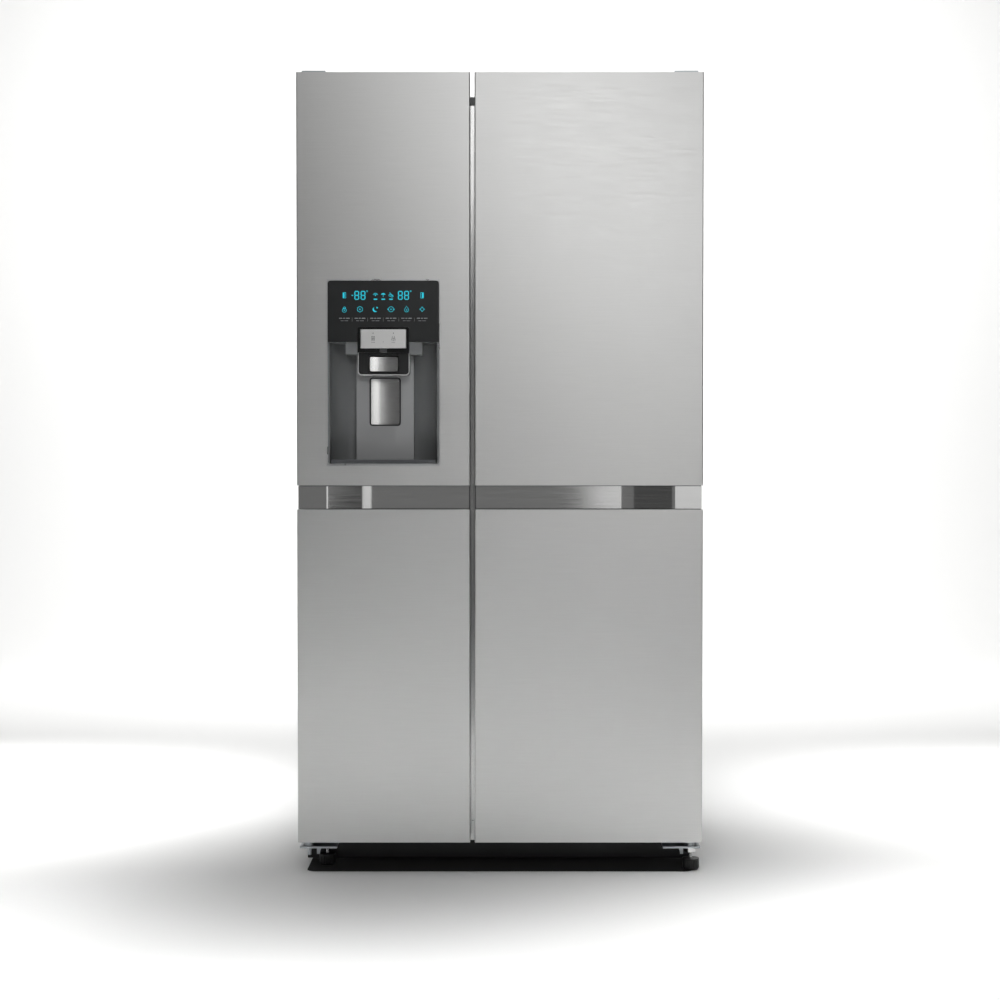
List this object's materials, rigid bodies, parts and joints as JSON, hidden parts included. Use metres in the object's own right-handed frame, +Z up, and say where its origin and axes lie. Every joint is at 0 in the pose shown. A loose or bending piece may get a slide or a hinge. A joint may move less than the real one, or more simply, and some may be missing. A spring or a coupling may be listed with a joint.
{
  "type": "side by side refrigerator",
  "caption": "Free-standing side by side refrigerator with brushed steel doors, recessed handle bands and an ice and water dispenser in the left door.",
  "frame": {"origin": "on the floor, under the middle of the whole body", "axes": "+Z up, -Y out of the doors' fronts, +X to the right of a person facing the doors"},
  "size_m": [0.895, 0.71, 1.775],
  "materials": {
    "painted_shell": "satin",
    "foam": "matte",
    "white_liner": "satin",
    "grey_trim": "satin",
    "galvanised": "satin",
    "dark_beam": "matte",
    "zinc": "satin",
    "bright_fastener": "polished",
    "foot_rubber": "satin",
    "roller_nylon": "satin",
    "black_enamel": "gloss",
    "fins": "satin",
    "motor_steel": "satin",
    "fan_plastic": "satin",
    "valve_plastic": "satin",
    "inlet_plastic": "satin",
    "shelf_glass": "gloss",
    "clear_plastic": "gloss",
    "brushed_steel": "satin",
    "polished_band": "polished",
    "seal": "matte",
    "recess_grey": "satin",
    "black_glass": "gloss",
    "satin_silver": "satin",
    "black_gloss": "gloss",
    "paddle_steel": "polished",
    "tray_grey": "satin"
  },
  "bodies": {
    "cabinet": {"cabinet_wrapper": "painted_shell", "rear_panel": "painted_shell", "insulation_foam": "foam", "freezer_liner": "white_liner", "fridge_liner": "white_liner", "centre_mullion": "grey_trim", "base_plate": "galvanised", "toe_beam": "dark_beam", "top_cover": "grey_trim", "top_hinge_left": "zinc", "top_hinge_right": "zinc", "hinge_covers": "grey_trim", "bottom_hinge_left": "zinc", "bottom_hinge_right": "zinc", "bracket_screws": "bright_fastener", "foot_lock_nuts": "bright_fastener", "compressor": "black_enamel", "condenser_coil": "fins", "fan_motor": "motor_steel", "drip_pan": "galvanised", "machine_cover": "galvanised", "water_valve": "valve_plastic", "power_inlet": "inlet_plastic", "freezer_duct_cover": "white_liner", "fridge_duct_cover": "white_liner", "freezer_shelves": "shelf_glass", "fridge_shelves": "shelf_glass", "ice_maker": "white_liner"},
    "foot_left": {"foot_left": "foot_rubber"},
    "foot_right": {"foot_right": "foot_rubber"},
    "roller_left": {"roller_left": "roller_nylon"},
    "roller_right": {"roller_right": "roller_nylon"},
    "fan": {"condenser_fan": "fan_plastic"},
    "ice_bucket": {"ice_bucket": "clear_plastic"},
    "freezer_drawer_upper": {"freezer_drawer_upper": "clear_plastic"},
    "freezer_drawer_lower": {"freezer_drawer_lower": "clear_plastic"},
    "crisper_upper": {"crisper_upper": "clear_plastic"},
    "crisper_lower": {"crisper_lower": "clear_plastic"},
    "left_door": {"left_upper_skin": "brushed_steel", "left_lower_skin": "brushed_steel", "left_handle_band": "polished_band", "left_door_core": "foam", "left_door_liner": "white_liner", "left_gasket": "seal", "left_door_bins": "clear_plastic", "dispenser_housing": "recess_grey", "control_panel": "black_glass", "selector_panel": "satin_silver", "spout_housing": "black_gloss"},
    "right_door": {"right_upper_skin": "brushed_steel", "right_lower_skin": "brushed_steel", "right_handle_band": "polished_band", "right_door_core": "foam", "right_door_liner": "white_liner", "right_gasket": "seal", "right_door_bins": "clear_plastic"},
    "ice_paddle": {"ice_paddle": "paddle_steel"},
    "water_paddle": {"water_paddle": "paddle_steel"},
    "drip_tray": {"drip_tray": "tray_grey"},
    "ice_flap": {"ice_flap": "tray_grey"}
  },
  "joints": [
    {"name": "left_door_swing", "type": "hinge", "parent": "cabinet", "child": "left_door", "pos_m": [-0.424, -0.33, 0.9], "axis": [0, 0, -1], "range_deg": [0, 120]},
    {"name": "right_door_swing", "type": "hinge", "parent": "cabinet", "child": "right_door", "pos_m": [0.424, -0.33, 0.9], "axis": [0, 0, 1], "range_deg": [0, 120]},
    {"name": "ice_bucket_slide", "type": "slide", "parent": "cabinet", "child": "ice_bucket", "axis": [0, -1, 0], "range_m": [0, 0.147]},
    {"name": "freezer_drawer_upper_slide", "type": "slide", "parent": "cabinet", "child": "freezer_drawer_upper", "axis": [0, -1, 0], "range_m": [0, 0.147]},
    {"name": "freezer_drawer_lower_slide", "type": "slide", "parent": "cabinet", "child": "freezer_drawer_lower", "axis": [0, -1, 0], "range_m": [0, 0.147]},
    {"name": "crisper_upper_slide", "type": "slide", "parent": "cabinet", "child": "crisper_upper", "axis": [0, -1, 0], "range_m": [0, 0.147]},
    {"name": "crisper_lower_slide", "type": "slide", "parent": "cabinet", "child": "crisper_lower", "axis": [0, -1, 0], "range_m": [0, 0.147]},
    {"name": "foot_left_adjust", "type": "slide", "parent": "cabinet", "child": "foot_left", "axis": [0, 0, -1], "range_m": [0, 0.012]},
    {"name": "roller_left_spin", "type": "hinge", "parent": "cabinet", "child": "roller_left", "pos_m": [-0.38, 0.28, 0.02], "axis": [1, 0, 0], "continuous": true},
    {"name": "foot_right_adjust", "type": "slide", "parent": "cabinet", "child": "foot_right", "axis": [0, 0, -1], "range_m": [0, 0.012]},
    {"name": "roller_right_spin", "type": "hinge", "parent": "cabinet", "child": "roller_right", "pos_m": [0.38, 0.28, 0.02], "axis": [1, 0, 0], "continuous": true},
    {"name": "fan_spin", "type": "hinge", "parent": "cabinet", "child": "fan", "pos_m": [0.044, 0.235, 0.15], "axis": [1, 0, 0], "continuous": true},
    {"name": "ice_paddle_push", "type": "hinge", "parent": "left_door", "child": "ice_paddle", "pos_m": [-0.2565, -0.3365, 1.1418], "axis": [1, 0, 0], "range_deg": [0, 12], "stiffness_Nm_per_rad": 0.15, "springref_deg": -11.46},
    {"name": "water_paddle_push", "type": "hinge", "parent": "left_door", "child": "water_paddle", "pos_m": [-0.2567, -0.2865, 1.0955], "axis": [1, 0, 0], "range_deg": [0, 8], "stiffness_Nm_per_rad": 0.4, "springref_deg": -11.46},
    {"name": "drip_tray_lift", "type": "slide", "parent": "left_door", "child": "drip_tray", "axis": [0, 0, 1], "range_m": [0, 0.05]},
    {"name": "ice_flap_open", "type": "hinge", "parent": "left_door", "child": "ice_flap", "pos_m": [-0.257, -0.2955, 1.1775], "axis": [1, 0, 0], "range_deg": [0, 60]}
  ],
  "couplings": [
    {"joint": "ice_bucket_slide", "follows": "left_door_swing", "m_per_rad": 0.069232},
    {"joint": "freezer_drawer_upper_slide", "follows": "left_door_swing", "m_per_rad": 0.069232},
    {"joint": "freezer_drawer_lower_slide", "follows": "left_door_swing", "m_per_rad": 0.069232},
    {"joint": "crisper_upper_slide", "follows": "right_door_swing", "m_per_rad": 0.069232},
    {"joint": "crisper_lower_slide", "follows": "right_door_swing", "m_per_rad": 0.069232},
    {"joint": "ice_flap_open", "follows": "ice_paddle_push", "ratio": 5}
  ]
}
